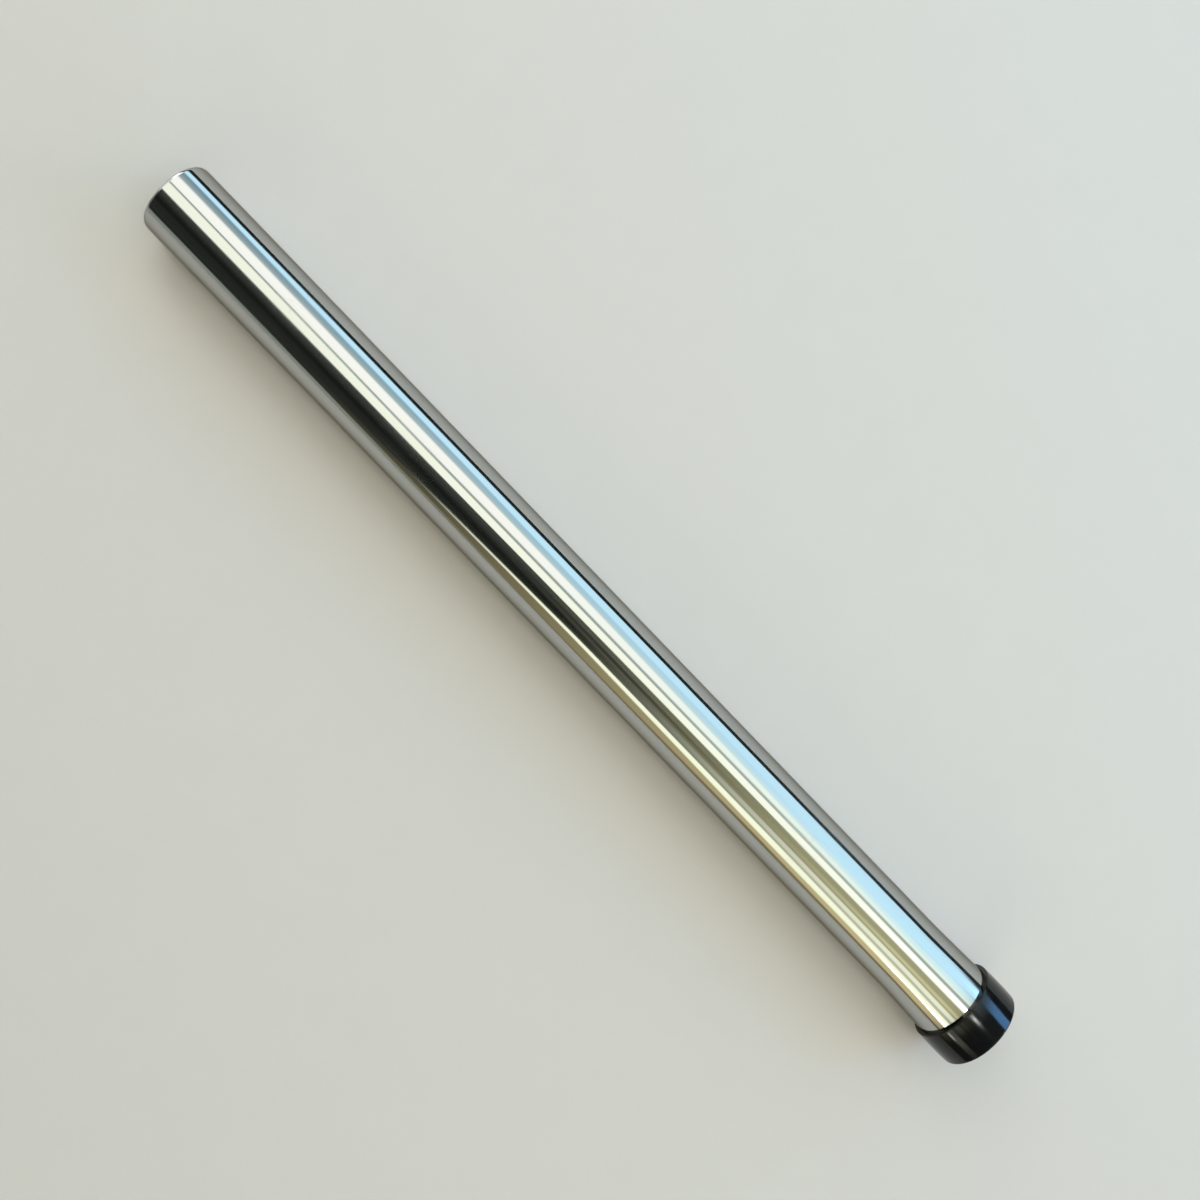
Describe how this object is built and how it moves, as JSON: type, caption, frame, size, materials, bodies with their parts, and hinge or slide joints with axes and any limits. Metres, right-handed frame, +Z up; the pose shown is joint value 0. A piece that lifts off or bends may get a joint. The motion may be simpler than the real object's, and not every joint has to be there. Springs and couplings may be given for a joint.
{
  "type": "vacuum extension tube",
  "caption": "Straight chrome-plated steel suction tube with a plain tip at one end and a belled socket inside a black plastic collar at the other.",
  "frame": {"origin": "on the floor, below the middle of the tube's length, as it lies on its side on its tip and its collar", "axes": "+X along the tube from the plain tip towards the collar, rising by the third of a degree that the collar lifts it; +Y across; +Z up"},
  "size_m": [0.4928, 0.0404, 0.0404],
  "materials": {
    "chrome_plate": "bright chrome plate, drawn and polished along the length",
    "black_plastic": "glossy moulded black plastic"
  },
  "bodies": {
    "root": {"tube": "chrome_plate", "collar": "black_plastic"}
  },
  "joints": []
}
